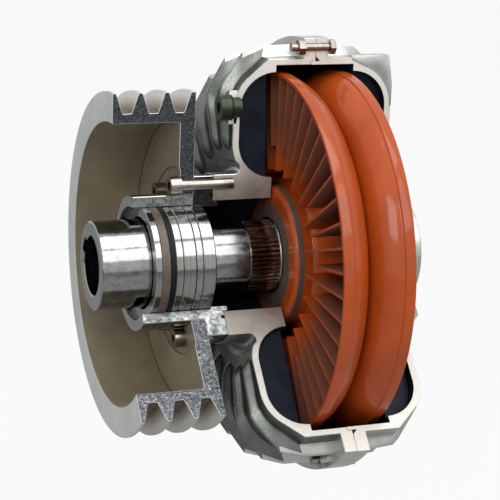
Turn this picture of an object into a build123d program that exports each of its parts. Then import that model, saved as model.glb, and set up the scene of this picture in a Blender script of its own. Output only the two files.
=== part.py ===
"""Belt-driven fluid coupling, cut open as a display piece.

The input is a hollow shaft that slides over a motor shaft and carries the two-sided vaned wheel.
The output is the pulley, bolted to a bearing sleeve and to the two-part aluminium casing.
The axis is X: the motor comes in at x = 0, the pulley is next, the casing's far end is at the highest x.
Angles go round from straight up (+Z) towards +Y. In a profile the points are (x, radius).
"""
from build123d import *

import os
from math import cos, radians, sin, sqrt

# Motor bore and keyway
bore_diameter = 42.0
bore_depth = 109.7
bore_chamfer = 0.8
key_width = 12.0
key_height = 3.3
key_angle = 62.0
fixing_hole_diameter = 21.0

# Hollow shaft
nose_diameter = 62.6
neck_diameter = 51.2
bearing_seat_diameter = 55.0
relief_diameter = 49.4
relief_width = 2.0
spline_lead = 23.2
spline_diameter = 52.4
spline_depth = 0.9
spline_count = 48
rear_seat_diameter = 50.0
thread_diameter = 48.0

# Pulley
pulley_front = 12.7
pulley_diameter = 243.2
groove_count = 3
groove_pitch = 19.0
groove_front_edge = 10.5
groove_back_edge = 11.5
groove_depth = 14.4
groove_bottom_width = 6.3
groove_top_width = 16.2
rim_wall = 6.9
rim_fillet = 4.0
web_thickness = 11.0
web_recess_margin = 5.5
web_recess_depth = 1.0

# Bearing sleeve
sleeve_wall = 8.0
sleeve_reach = 44.7
sleeve_flange_edge = 6.0
sleeve_flange_thickness = 15.0
sleeve_lip_height = 1.8
spigot_length = 3.8
spigot_wall = 4.3
sleeve_o_ring_offset = 4.4

# Seals, spacers and the two front bearings inside the sleeve
front_bearing_height = 12.5
front_bearing_width = 9.7
front_bearing_spacing = 4.6
front_bearing_inset = 6.0
front_ring_wall = 3.4
spacer_wall = 3.0
seal_cover_width = 4.6
seal_body_width = 6.1
seal_rubber_width = 4.1
seal_spacer_width = 5.1
seal_body_gap = 1.7
circlip_width = 1.6
circlip_height = 3.4
circlip_groove_depth = 1.6

# Rear bearing and what holds it on the shaft
rear_bearing_height = 15.0
rear_bearing_width = 16.0
rear_bearing_inset = 14.0
rear_ring_wall = 5.0
distance_ring_wall = 6.0
lock_nut_width = 8.5
lock_nut_height = 9.5
lock_nut_slots = 4
lock_nut_slot_width = 6.0
lock_nut_slot_depth = 2.5

# Rollers and cages
rollers_per_bearing = 16
roller_edge = 1.2
cage_thickness = 1.4
cage_bar = 0.25

# Casing: its ring-shaped oil space is a slot shape in section, half of it in each casing
hub_block_length = 44.0
hub_rim = 3.2
oil_space_inner = 58.2
oil_space_outer = 133.7
oil_space_depth = 26.0
casing_wall = 5.0
shell_gap = 29.4
drum_wall = 4.6
drum_shoulder = 6.2
flange_height = 14.2
flange_half = 9.4
joint_lip = 3.6
joint_lip_wall = 2.5
casing_vanes = 32
casing_vane_thickness = 2.4
casing_vane_setback = 3.5
casing_vane_start = 5.6
o_ring_section = 2.0

# Ribs on the outside of the casings
rib_count = 24
rib_width = 6.5
rib_tip_margin = 18.8
rib_knee_margin = 27.3
rib_shoulder_margin = 12.7
rib_rise = 5.2
rib_crown_height = 3.2
rib_crown_reach = 11.3
rib_flange_height = 7.7
rib_flange_slope = 24.0
rear_rib_start = 5.2
rear_rib_length = 22.0
rear_rib_height = 6.2
rear_rib_margin = 9.7
rear_boss_width = 17.0
rear_boss_height = 1.3
rear_boss_inset = 3.2

# Rear hub of the casing and its cap
rear_hub_wall = 23.6
rear_hub_chamfer = 6.1
rear_lip_height = 4.0
cap_length = 11.7
cap_thickness = 4.5
cap_wall = 3.4
cap_gap = 2.0

# Casing joint screws, M6 with nuts
bolt_rise = 8.0
bolt_count = 12
bolt_diameter = 6.0
bolt_head_across = 10.0
bolt_head_height = 4.0
nut_height = 5.0
bolt_thread_out = 5.0

# Pulley screws, M8 with socket heads
screw_head_gap = 0.5
screw_count = 9
screw_diameter = 8.0
screw_head_diameter = 13.0
screw_head_height = 8.0
screw_socket_across = 6.0
screw_socket_depth = 4.0
screw_grip = 14.0
screw_hole_extra = 4.0

# Filler plug
plug_offset = 1.9
plug_head_diameter = 18.0
plug_head_height = 7.4
plug_thread_diameter = 14.6
plug_socket_across = 8.0
plug_socket_depth = 5.0
plug_boss_diameter = 24.4
plug_boss_rise = 3.9
plug_washer_thickness = 1.6

# Two-sided wheel
wheel_side_gap = 3.4
wheel_rim_gap = 6.3
wheel_rim_land = 7.4
wheel_rim_wall = 2.9
wheel_web_thickness = 5.2
wheel_hub_radius = 50.5
wheel_hub_bevel = 2.2
wheel_nose_reach = 2.2
wheel_cone_depth = 12.0
wheel_cone_radius = 78.0
wheel_vanes = 24
wheel_vane_thickness = 2.0
wheel_vane_angle = 2.5
wheel_long_vane_radius = 61.0
wheel_short_vane_radius = 79.0
wire_ring_section = 2.4
wire_ring_seat = 0.8

# Clearances: between turning parts, between parts that fit together, round screws
roller_clearance = 0.03
seal_clearance = 0.05
fit_clearance = 0.02
hole_clearance = 0.3
edge_break = 0.8
embed = 1.0

# Display cut: this wedge is missing from the pulley, the sleeve and the casings
window_angle = 135.0
window_reach = 250.0

# Stations along the axis
pulley_back = pulley_front + groove_front_edge + groove_back_edge + (groove_count - 1) * groove_pitch
web_front = pulley_back - web_thickness
sleeve_front = pulley_back - sleeve_reach
sleeve_back = pulley_back + sleeve_flange_thickness
front_face = sleeve_back + hub_block_length
joint_plane = front_face + shell_gap
rear_face = joint_plane + shell_gap
front_shell = front_face - oil_space_depth - casing_wall
rear_shell = rear_face + oil_space_depth + casing_wall
wheel_front = front_face + wheel_side_gap
hub_front = wheel_front - wheel_nose_reach
hub_back = rear_face - wheel_side_gap + wheel_nose_reach
spline_start = hub_front - spline_lead
bearing_a_x = pulley_back + front_bearing_inset - front_bearing_width
bearing_a_end = bearing_a_x + front_bearing_width
bearing_b_x = bearing_a_x - front_bearing_spacing - front_bearing_width
bearing_b_end = bearing_b_x + front_bearing_width
seal_spacer_x = bearing_b_x - seal_spacer_width
seal_rubber_x = seal_spacer_x - seal_rubber_width
seal_body_x = seal_rubber_x - seal_body_width
seal_cover_x = seal_body_x - seal_cover_width
rear_bearing_x = rear_face + rear_bearing_inset
rear_bearing_end = rear_bearing_x + rear_bearing_width
shaft_end = rear_bearing_end + lock_nut_width
rear_end = shaft_end + cap_gap + cap_thickness
cap_front = rear_end - cap_length
screw_seat = web_front + web_recess_depth
plug_seat = front_shell - plug_boss_rise

# Radii that more than one piece shares
bore_radius = bore_diameter / 2
nose_radius = nose_diameter / 2
neck_radius = neck_diameter / 2
front_seat_radius = bearing_seat_diameter / 2
rear_seat_radius = rear_seat_diameter / 2
spline_radius = spline_diameter / 2
stack_radius = front_seat_radius + front_bearing_height
sleeve_radius = stack_radius + sleeve_wall
lip_inner_radius = stack_radius - sleeve_lip_height
hub_bore_radius = lip_inner_radius + spigot_wall
sleeve_o_ring_radius = hub_bore_radius + sleeve_o_ring_offset
screw_circle_radius = sleeve_radius + screw_head_gap + screw_head_diameter / 2
sleeve_flange_radius = screw_circle_radius + sleeve_flange_edge
web_recess_radius = sleeve_flange_radius + web_recess_margin
pulley_radius = pulley_diameter / 2
rim_bore_radius = pulley_radius - groove_depth - rim_wall
rear_stack_radius = rear_seat_radius + rear_bearing_height
hub_radius = oil_space_inner + hub_rim
drum_bore_radius = oil_space_outer + casing_wall
drum_radius = drum_bore_radius + drum_wall
flange_radius = drum_radius + flange_height
bolt_circle_radius = drum_radius + bolt_rise
rib_flange_radius = drum_radius + rib_flange_height
rear_rib_foot_radius = oil_space_outer - rear_rib_margin
oil_arc_centres = oil_space_outer - oil_space_inner - 2 * oil_space_depth
oil_middle = (oil_space_inner + oil_space_outer) / 2
oil_outer_arc = oil_space_outer - oil_space_depth
plug_radius = oil_outer_arc + plug_offset
wheel_rim_radius = drum_bore_radius - wheel_rim_gap
wheel_bowl_floor = joint_plane - wheel_web_thickness / 2
wheel_bowl_radius = wheel_bowl_floor - wheel_front
wheel_shell_arc = wheel_bowl_radius + wheel_rim_wall
wheel_arc_radius = wheel_rim_radius - wheel_shell_arc


def axial_plane(angle):
    """Plane through the coupling's axis: local x runs along +X, local y points outwards at the angle."""
    turn = radians(angle)
    return Plane(origin=(0, 0, 0), x_dir=(1, 0, 0), z_dir=(0, -cos(turn), sin(turn)))


def kept_angles(count, start=0.0):
    """Angles of a full circle's places that the display cut leaves."""
    places = (start + place * 360 / count for place in range(count))
    return [angle for angle in places if angle < 360 - window_angle]


def kept_places(radius, count):
    """Points (y, z) of a circle's places, from straight up, that the display cut leaves."""
    turns = [radians(angle) for angle in kept_angles(count)]
    return [(radius * sin(turn), radius * cos(turn)) for turn in turns]


def block(start, end, inner, outer, mode=Mode.ADD):
    """Rectangle of a profile from one station to another and from one radius to another."""
    with Locations(((start + end) / 2, (inner + outer) / 2)):
        Rectangle(end - start, outer - inner, mode=mode)


def oil_slot(face, reach, mode=Mode.ADD):
    """Slot-shaped section of the oil space about a casing's inner face, its arcs of the given radius."""
    with Locations((face, oil_middle)):
        SlotCenterToCenter(oil_arc_centres, 2 * reach, rotation=90, mode=mode)


def turned_ring(start, end, inner, outer, bevel=0.0):
    """Turn a ring about the axis, with its two outer corners bevelled."""
    with BuildSketch(Plane.XZ) as section:
        block(start, end, inner, outer)
        if bevel:
            chamfer(section.vertices().group_by(Axis.Y)[-1], bevel)
    revolve(section.sketch, axis=Axis.X)


def round_wire(station, radius, thickness):
    """Turn a ring of round section about the axis."""
    with BuildSketch(Plane.XZ) as section:
        with Locations((station, radius)):
            Circle(thickness / 2)
    revolve(section.sketch, axis=Axis.X)


def drill(start, end, places, radius):
    """Drill round holes along the axis at the given places of the part being built."""
    with BuildSketch(Plane.YZ.offset(start)) as holes:
        with Locations(*places):
            Circle(radius)
    extrude(holes.sketch, amount=end - start, mode=Mode.SUBTRACT)


def pins(start, end, places, radius):
    """Add round pins along the axis at the given places."""
    with BuildSketch(Plane.YZ.offset(start)) as rounds:
        with Locations(*places):
            Circle(radius)
    extrude(rounds.sketch, amount=end - start)


def hexagons(start, end, places, across, mode=Mode.ADD):
    """Add or cut hexagons along the axis at the given places."""
    with BuildSketch(Plane.YZ.offset(start)) as hexes:
        with Locations(*places):
            RegularPolygon(across / 2, 6, major_radius=False)
    extrude(hexes.sketch, amount=end - start, mode=mode)


# The wedge that the display cut takes away, from straight up towards -Y
with BuildPart() as window:
    with BuildSketch(Plane.YZ.offset(-window_reach)):
        with BuildLine():
            Line((0, 0), (0, window_reach))
            sweep = CenterArc((0, 0), window_reach, 90, window_angle)
            Line(sweep @ 1, (0, 0))
        make_face()
    extrude(amount=3 * window_reach)

# Hollow shaft: plain nose, bearing seats, splines for the wheel, thread for the rear nut
with BuildPart() as hollow_shaft:
    with BuildSketch(Plane.XZ) as shaft_section:
        block(-bore_chamfer, bearing_b_x, 0, nose_radius)
        block(bearing_b_x, bearing_a_end + 2 * circlip_width, 0, front_seat_radius)
        block(bearing_a_end, spline_start, 0, neck_radius)
        block(spline_start, hub_back, 0, spline_radius)
        block(hub_back, rear_bearing_end, 0, rear_seat_radius)
        block(rear_bearing_end, shaft_end, 0, thread_diameter / 2)
        block(-bore_chamfer, bore_depth, 0, bore_radius, mode=Mode.SUBTRACT)
        block(bore_depth, shaft_end, 0, fixing_hole_diameter / 2, mode=Mode.SUBTRACT)
        mouth = shaft_section.vertices().group_by(Axis.X)[0]
        chamfer(mouth + shaft_section.vertices().group_by(Axis.X)[-1], bore_chamfer)
        block(
            bearing_a_end,
            bearing_a_end + circlip_width,
            front_seat_radius - circlip_groove_depth,
            stack_radius,
            mode=Mode.SUBTRACT,
        )
        block(
            spline_start - relief_width,
            spline_start,
            relief_diameter / 2,
            stack_radius,
            mode=Mode.SUBTRACT,
        )
        block(
            hub_front - wire_ring_section,
            hub_front,
            spline_radius - wire_ring_seat,
            stack_radius,
            mode=Mode.SUBTRACT,
        )
    revolve(axis=Axis.X)
    with BuildSketch(axial_plane(key_angle)):
        block(-bore_chamfer, bore_depth, 0, bore_radius + key_height)
    extrude(amount=key_width / 2, both=True, mode=Mode.SUBTRACT)
    with BuildSketch(Plane.YZ.offset(spline_start)):
        with PolarLocations(spline_radius, spline_count):
            Rectangle(spline_depth * sqrt(2), spline_depth * sqrt(2), rotation=45)
    extrude(amount=hub_back - spline_start, mode=Mode.SUBTRACT)

# Pulley: three belt grooves on a rim, a web at the back, a seat for the screw heads
with BuildPart() as pulley:
    with BuildSketch(Plane.XZ) as pulley_section:
        block(pulley_front, pulley_back, rim_bore_radius, pulley_radius)
        block(web_front, pulley_back, sleeve_radius + fit_clearance, pulley_radius)
        chamfer(pulley_section.vertices().group_by(Axis.Y)[-1], edge_break)
        fillet(pulley_section.vertices().sort_by_distance((web_front, rim_bore_radius))[0], rim_fillet)
        for groove in range(groove_count):
            middle = pulley_front + groove_front_edge + groove * groove_pitch
            with BuildLine():
                Polyline(
                    (middle - groove_bottom_width / 2, pulley_radius - groove_depth),
                    (middle + groove_bottom_width / 2, pulley_radius - groove_depth),
                    (middle + groove_top_width / 2, pulley_radius),
                    (middle - groove_top_width / 2, pulley_radius),
                    close=True,
                )
            make_face(mode=Mode.SUBTRACT)
        block(web_front, screw_seat, 0, web_recess_radius, mode=Mode.SUBTRACT)
    revolve(axis=Axis.X)
    screw_hole_radius = screw_diameter / 2 + hole_clearance
    drill(web_front, pulley_back, kept_places(screw_circle_radius, screw_count), screw_hole_radius)
    add(window.part, mode=Mode.SUBTRACT)

# Bearing sleeve: carries the pulley outside and the seals and bearings inside
with BuildPart() as bearing_sleeve:
    with BuildSketch(Plane.XZ) as sleeve_section:
        block(sleeve_front, sleeve_back, stack_radius, sleeve_radius)
        chamfer(sleeve_section.vertices().group_by(Axis.X)[0], edge_break)
        block(pulley_back, sleeve_back, stack_radius, sleeve_flange_radius)
        block(
            bearing_a_end,
            sleeve_back + spigot_length,
            lip_inner_radius,
            hub_bore_radius - fit_clearance,
        )
        chamfer(sleeve_section.vertices().group_by(Axis.X)[-1].sort_by(Axis.Y)[-1], edge_break)
        block(
            sleeve_back - o_ring_section,
            sleeve_back,
            sleeve_o_ring_radius - o_ring_section / 2,
            sleeve_o_ring_radius + o_ring_section / 2,
            mode=Mode.SUBTRACT,
        )
    revolve(axis=Axis.X)
    drill(pulley_back, sleeve_back, kept_places(screw_circle_radius, screw_count), screw_hole_radius)
    add(window.part, mode=Mode.SUBTRACT)

# Front casing: hub block, ribbed shell round the oil space with its vanes, drum and flange
with BuildPart() as front_casing:
    with BuildSketch(Plane.XZ):
        oil_slot(front_face, oil_space_depth + casing_wall)
        block(sleeve_back, front_face, hub_bore_radius, hub_radius)
        shoulder = (oil_space_depth + casing_wall) / sqrt(2)
        with BuildLine():
            Polyline(
                (front_face - shoulder, oil_outer_arc + shoulder),
                (front_face - drum_shoulder, drum_radius),
                (joint_plane, drum_radius),
                (joint_plane, oil_outer_arc),
                (front_face, oil_outer_arc),
                close=True,
            )
        make_face()
        block(joint_plane - flange_half, joint_plane, drum_bore_radius, flange_radius)
        oil_slot(front_face, oil_space_depth, mode=Mode.SUBTRACT)
        block(front_face, rear_face, 0, drum_bore_radius, mode=Mode.SUBTRACT)
        block(
            joint_plane - joint_lip - fit_clearance,
            joint_plane,
            drum_bore_radius,
            drum_bore_radius + joint_lip_wall + fit_clearance,
            mode=Mode.SUBTRACT,
        )
    revolve(axis=Axis.X)
    rib_tip_radius = oil_space_inner + rib_tip_margin
    for angle in kept_angles(rib_count, 180 / rib_count):
        with BuildSketch(axial_plane(angle)):
            with BuildLine():
                Polyline(
                    (front_shell + casing_wall / 2, rib_tip_radius),
                    (front_shell - rib_rise, oil_space_inner + rib_knee_margin),
                    (front_shell - rib_rise, oil_space_outer - rib_shoulder_margin),
                    (front_shell + rib_crown_reach, drum_radius + rib_crown_height),
                    (joint_plane - flange_half - rib_flange_slope, rib_flange_radius),
                    (joint_plane - flange_half, rib_flange_radius),
                    (joint_plane - flange_half, drum_radius - drum_wall / 2),
                    (front_face, drum_radius - drum_wall / 2),
                    (front_face, rib_tip_radius),
                    close=True,
                )
            make_face()
            oil_slot(front_face, oil_space_depth + casing_wall / 2, mode=Mode.SUBTRACT)
    extrude(amount=rib_width / 2, both=True)
    for angle in kept_angles(casing_vanes, casing_vane_start):
        with BuildSketch(axial_plane(angle)):
            oil_slot(front_face, oil_space_depth + casing_wall / 2)
            block(
                front_face - casing_vane_setback,
                rear_face,
                0,
                drum_bore_radius,
                mode=Mode.SUBTRACT,
            )
    extrude(amount=casing_vane_thickness / 2, both=True)
    plug_places = [(0, plug_radius)]
    pins(plug_seat, front_shell + casing_wall / 2, plug_places, plug_boss_diameter / 2)
    drill(
        plug_seat,
        plug_seat + plug_washer_thickness,
        plug_places,
        plug_head_diameter / 2 + hole_clearance,
    )
    drill(
        plug_seat,
        front_face - oil_space_depth,
        plug_places,
        plug_thread_diameter / 2 + fit_clearance,
    )
    drill(
        sleeve_back,
        sleeve_back + screw_grip + screw_hole_extra,
        kept_places(screw_circle_radius, screw_count),
        screw_diameter / 2 + fit_clearance,
    )
    bolt_hole_radius = bolt_diameter / 2 + hole_clearance
    drill(
        joint_plane - flange_half,
        joint_plane,
        kept_places(bolt_circle_radius, bolt_count),
        bolt_hole_radius,
    )
    add(window.part, mode=Mode.SUBTRACT)

# Rear casing: the same shell turned round, with the rear bearing's hub
with BuildPart() as rear_casing:
    with BuildSketch(Plane.XZ) as rear_section:
        rear_lip_radius = rear_stack_radius - rear_lip_height
        block(rear_face, rear_end, rear_lip_radius, rear_stack_radius + rear_hub_wall)
        chamfer(rear_section.vertices().group_by(Axis.X)[-1].sort_by(Axis.Y)[-1], rear_hub_chamfer)
        oil_slot(rear_face, oil_space_depth + casing_wall)
        block(rear_face, rear_shell, hub_radius, oil_middle)
        with BuildLine():
            Polyline(
                (rear_face + shoulder, oil_outer_arc + shoulder),
                (rear_face + drum_shoulder, drum_radius),
                (joint_plane, drum_radius),
                (joint_plane, oil_outer_arc),
                (rear_face, oil_outer_arc),
                close=True,
            )
        make_face()
        block(joint_plane, joint_plane + flange_half, drum_bore_radius, flange_radius)
        oil_slot(rear_face, oil_space_depth, mode=Mode.SUBTRACT)
        block(front_face, rear_face, 0, drum_bore_radius, mode=Mode.SUBTRACT)
        lip_radius = drum_bore_radius + joint_lip_wall
        block(joint_plane - joint_lip, joint_plane, drum_bore_radius, lip_radius)
        o_ring_leg = o_ring_section * (1 + 1 / sqrt(2)) + fit_clearance
        with BuildLine():
            Polyline(
                (joint_plane, lip_radius),
                (joint_plane + o_ring_leg, lip_radius),
                (joint_plane, lip_radius + o_ring_leg),
                close=True,
            )
        make_face(mode=Mode.SUBTRACT)
        block(rear_bearing_x, rear_end, 0, rear_stack_radius, mode=Mode.SUBTRACT)
    revolve(axis=Axis.X)
    for angle in kept_angles(rib_count, 180 / rib_count):
        with BuildSketch(axial_plane(angle)):
            with BuildLine():
                Polyline(
                    (joint_plane + flange_half + rear_rib_start, drum_radius - drum_wall / 2),
                    (joint_plane + flange_half + rear_rib_start, rib_flange_radius),
                    (
                        joint_plane + flange_half + rear_rib_start + rear_rib_length,
                        drum_radius + rear_rib_height,
                    ),
                    (rear_shell, rear_rib_foot_radius),
                    (rear_shell, oil_outer_arc),
                    (rear_face, oil_outer_arc),
                    (rear_face, drum_radius - drum_wall / 2),
                    close=True,
                )
            make_face()
            oil_slot(rear_face, oil_space_depth + casing_wall / 2, mode=Mode.SUBTRACT)
    extrude(amount=rib_width / 2, both=True)
    with BuildSketch(axial_plane(0)):
        with BuildLine():
            Polyline(
                (rear_face, drum_radius - drum_wall / 2),
                (rear_face, drum_radius + rear_boss_height),
                (rear_shell - rear_boss_inset, drum_radius + rear_boss_height),
                (rear_shell, rear_rib_foot_radius),
                (rear_shell, oil_outer_arc),
                (rear_face, oil_outer_arc),
                close=True,
            )
        make_face()
        oil_slot(rear_face, oil_space_depth + casing_wall / 2, mode=Mode.SUBTRACT)
    extrude(amount=rear_boss_width / 2, both=True)
    for angle in kept_angles(casing_vanes, casing_vane_start):
        with BuildSketch(axial_plane(angle)):
            oil_slot(rear_face, oil_space_depth + casing_wall / 2)
            block(
                front_face,
                rear_face + casing_vane_setback,
                0,
                drum_bore_radius,
                mode=Mode.SUBTRACT,
            )
    extrude(amount=casing_vane_thickness / 2, both=True)
    drill(
        joint_plane,
        joint_plane + flange_half,
        kept_places(bolt_circle_radius, bolt_count),
        bolt_hole_radius,
    )
    add(window.part, mode=Mode.SUBTRACT)

# Two-sided wheel: a half with long and short vanes, and its mirror image back to back at the joint plane
with BuildPart() as half_wheel:
    with BuildSketch(Plane.XZ):
        with Locations((wheel_front, wheel_arc_radius)):
            Circle(wheel_shell_arc)
        block(wheel_front, joint_plane, 0, wheel_arc_radius)
        block(wheel_front, wheel_front + wheel_rim_land, wheel_arc_radius, wheel_rim_radius)
        with Locations((wheel_front, wheel_arc_radius)):
            Circle(wheel_bowl_radius, mode=Mode.SUBTRACT)
        with BuildLine():
            Polyline(
                (wheel_front, wheel_hub_radius),
                (wheel_front + wheel_cone_depth, wheel_hub_radius),
                (wheel_bowl_floor, wheel_cone_radius),
                (wheel_bowl_floor, wheel_arc_radius),
                (wheel_front, wheel_arc_radius),
                close=True,
            )
        make_face(mode=Mode.SUBTRACT)
        block(wheel_front - wheel_shell_arc, wheel_front, 0, wheel_rim_radius + embed, mode=Mode.SUBTRACT)
        block(joint_plane, rear_face, 0, wheel_rim_radius, mode=Mode.SUBTRACT)
        with BuildLine():
            Polyline(
                (wheel_front, wheel_hub_radius),
                (hub_front, wheel_hub_radius - wheel_hub_bevel),
                (hub_front, spline_radius),
                (wheel_front, spline_radius),
                close=True,
            )
        make_face()
        block(hub_front, rear_face, 0, spline_radius + fit_clearance, mode=Mode.SUBTRACT)
    revolve(axis=Axis.X)
    for place in range(2 * wheel_vanes):
        inner_end = wheel_short_vane_radius if place % 2 else wheel_long_vane_radius
        with BuildSketch(axial_plane(wheel_vane_angle + place * 180 / wheel_vanes)):
            with Locations((wheel_front, wheel_arc_radius)):
                Circle(wheel_bowl_radius + embed)
            block(wheel_front, wheel_bowl_floor + embed, wheel_hub_radius, wheel_arc_radius)
            with BuildLine():
                Polyline(
                    (wheel_front, wheel_hub_radius - embed),
                    (wheel_front + wheel_cone_depth + embed, wheel_hub_radius - embed),
                    (wheel_bowl_floor + embed, wheel_cone_radius),
                    (joint_plane, wheel_hub_radius - embed),
                    close=True,
                )
            make_face(mode=Mode.SUBTRACT)
            block(wheel_front - wheel_shell_arc, wheel_front, 0, wheel_rim_radius, mode=Mode.SUBTRACT)
            block(wheel_front, joint_plane, 0, inner_end, mode=Mode.SUBTRACT)
    extrude(amount=wheel_vane_thickness / 2, both=True)
front_half = half_wheel.part.solid()
wheel = Compound([front_half, front_half.mirror(Plane.YZ.offset(joint_plane))])

# Rings, seals and spacers: name, start, end, inner radius, outer radius
outer_fit = stack_radius - fit_clearance
seal_radius = nose_radius + seal_body_gap
front_seat_fit = front_seat_radius + fit_clearance
rear_seat_fit = rear_seat_radius + fit_clearance
spacer_rings = [
    ("seal_cover", seal_cover_x, seal_body_x, seal_radius, outer_fit),
    ("seal_body", seal_body_x, seal_rubber_x, seal_radius, outer_fit),
    ("seal_rubber", seal_rubber_x, seal_spacer_x, nose_radius + seal_clearance, outer_fit),
    ("seal_spacer", seal_spacer_x, bearing_b_x, seal_radius, outer_fit),
    ("outer_spacer", bearing_b_end, bearing_a_x, stack_radius - spacer_wall, outer_fit),
    ("inner_spacer", bearing_b_end, bearing_a_x, front_seat_fit, front_seat_radius + spacer_wall),
    (
        "rear_distance_ring",
        hub_back,
        rear_bearing_x,
        rear_seat_fit,
        rear_seat_radius + distance_ring_wall,
    ),
]
stack = {}
for name, start, end, inner, outer in spacer_rings:
    with BuildPart() as spacer_ring:
        turned_ring(start, end, inner, outer, edge_break / 2)
    stack[name] = spacer_ring.part

# Bearings: name, start, end, radius of the seat on the shaft, radius of the housing, wall of each ring
bearings = [
    ("front_bearing", bearing_b_x, bearing_b_end, front_seat_radius, stack_radius, front_ring_wall),
    ("middle_bearing", bearing_a_x, bearing_a_end, front_seat_radius, stack_radius, front_ring_wall),
    (
        "rear_bearing",
        rear_bearing_x,
        rear_bearing_end,
        rear_seat_radius,
        rear_stack_radius,
        rear_ring_wall,
    ),
]
for name, start, end, seat, housing, wall in bearings:
    inner_track = seat + wall
    outer_track = housing - wall
    pitch_radius = (inner_track + outer_track) / 2
    roller_radius = (outer_track - inner_track) / 2 - roller_clearance
    with BuildPart() as inner_ring:
        turned_ring(start, end, seat + fit_clearance, inner_track)
    with BuildPart() as outer_ring:
        turned_ring(start, end, outer_track, housing - fit_clearance, edge_break)
    with BuildPart() as rollers:
        with BuildSketch(Plane.YZ.offset(start + roller_edge)):
            with PolarLocations(pitch_radius, rollers_per_bearing):
                Circle(roller_radius)
        extrude(amount=end - start - 2 * roller_edge)
    with BuildPart() as cage:
        cage_inner = pitch_radius - cage_thickness / 2
        cage_outer = pitch_radius + cage_thickness / 2
        turned_ring(start + cage_bar, end - cage_bar, cage_inner, cage_outer)
        with BuildSketch(Plane.YZ.offset(start + roller_edge - fit_clearance)):
            with PolarLocations(pitch_radius, rollers_per_bearing):
                Rectangle(2 * cage_thickness, 2 * (roller_radius + fit_clearance))
        extrude(amount=end - start - 2 * (roller_edge - fit_clearance), mode=Mode.SUBTRACT)
    stack[name + "_inner_ring"] = inner_ring.part
    stack[name + "_outer_ring"] = outer_ring.part
    stack[name + "_rollers"] = rollers.part
    stack[name + "_cage"] = cage.part

# Circlip on the shaft behind the front bearings, open at the bottom
with BuildPart() as shaft_circlip:
    circlip_bore = front_seat_radius - circlip_groove_depth + fit_clearance
    turned_ring(bearing_a_end, bearing_a_end + circlip_width, circlip_bore, circlip_bore + circlip_height)
    with BuildSketch(axial_plane(180)):
        block(bearing_a_end, bearing_a_end + circlip_width, 0, stack_radius)
    extrude(amount=circlip_height, both=True, mode=Mode.SUBTRACT)
stack["shaft_circlip"] = shaft_circlip.part

# Slotted nut that clamps the rear bearing
with BuildPart() as shaft_lock_nut:
    lock_nut_radius = thread_diameter / 2 + lock_nut_height
    turned_ring(
        rear_bearing_end,
        shaft_end,
        thread_diameter / 2 + fit_clearance,
        lock_nut_radius,
        edge_break,
    )
    with BuildSketch(Plane.YZ.offset(rear_bearing_end)):
        with PolarLocations(lock_nut_radius, lock_nut_slots):
            Rectangle(2 * lock_nut_slot_depth, lock_nut_slot_width)
    extrude(amount=lock_nut_width, mode=Mode.SUBTRACT)
stack["shaft_lock_nut"] = shaft_lock_nut.part

# Cup-shaped cap that closes the rear hub
with BuildPart() as rear_cap:
    cap_radius = rear_stack_radius - fit_clearance
    turned_ring(cap_front, rear_end, cap_radius - cap_wall, cap_radius, edge_break)
    pins(rear_end - cap_thickness, rear_end, [(0, 0)], cap_radius - cap_wall)
stack["rear_cap"] = rear_cap.part

# Wire ring in front of the wheel, and the two O-rings, which are cut with the casings
with BuildPart() as wheel_retaining_ring:
    wire_middle = spline_radius - wire_ring_seat + fit_clearance + wire_ring_section / 2
    round_wire(hub_front - wire_ring_section / 2, wire_middle, wire_ring_section)
stack["wheel_retaining_ring"] = wheel_retaining_ring.part

with BuildPart() as sleeve_o_ring:
    round_wire(sleeve_back - o_ring_section / 2, sleeve_o_ring_radius, o_ring_section - fit_clearance)
    add(window.part, mode=Mode.SUBTRACT)
stack["sleeve_o_ring"] = sleeve_o_ring.part

with BuildPart() as casing_o_ring:
    round_wire(
        joint_plane + o_ring_section / 2,
        lip_radius + o_ring_section / 2 + fit_clearance / 2,
        o_ring_section - fit_clearance,
    )
    add(window.part, mode=Mode.SUBTRACT)
stack["casing_o_ring"] = casing_o_ring.part

# Screws of the pulley, nuts and bolts of the casing joint
with BuildPart() as pulley_screws:
    screw_places = kept_places(screw_circle_radius, screw_count)
    pins(screw_seat - screw_head_height, screw_seat, screw_places, screw_head_diameter / 2)
    pins(screw_seat, sleeve_back + screw_grip, screw_places, screw_diameter / 2)
    hexagons(
        screw_seat - screw_head_height,
        screw_seat - screw_head_height + screw_socket_depth,
        screw_places,
        screw_socket_across,
        mode=Mode.SUBTRACT,
    )
stack["pulley_screws"] = pulley_screws.part

with BuildPart() as casing_bolts:
    bolt_places = kept_places(bolt_circle_radius, bolt_count)
    nut_face = joint_plane - flange_half - nut_height
    head_face = joint_plane + flange_half
    hexagons(head_face, head_face + bolt_head_height, bolt_places, bolt_head_across)
    pins(nut_face - bolt_thread_out, head_face, bolt_places, bolt_diameter / 2)
stack["casing_bolts"] = casing_bolts.part

with BuildPart() as casing_nuts:
    hexagons(nut_face, nut_face + nut_height, bolt_places, bolt_head_across)
    drill(nut_face, nut_face + nut_height, bolt_places, bolt_diameter / 2 + fit_clearance)
stack["casing_nuts"] = casing_nuts.part

# Filler plug with its hexagon socket, and its sealing washer
with BuildPart() as filler_plug:
    pins(plug_seat - plug_head_height, plug_seat, plug_places, plug_head_diameter / 2)
    thread_end = front_face - oil_space_depth - edge_break
    pins(plug_seat, thread_end, plug_places, plug_thread_diameter / 2)
    hexagons(
        plug_seat - plug_head_height,
        plug_seat - plug_head_height + plug_socket_depth,
        plug_places,
        plug_socket_across,
        mode=Mode.SUBTRACT,
    )
stack["filler_plug"] = filler_plug.part

with BuildPart() as plug_washer:
    washer_end = plug_seat + plug_washer_thickness
    pins(plug_seat, washer_end, plug_places, plug_head_diameter / 2)
    drill(plug_seat, washer_end, plug_places, plug_thread_diameter / 2 + fit_clearance)
stack["plug_washer"] = plug_washer.part

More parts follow.
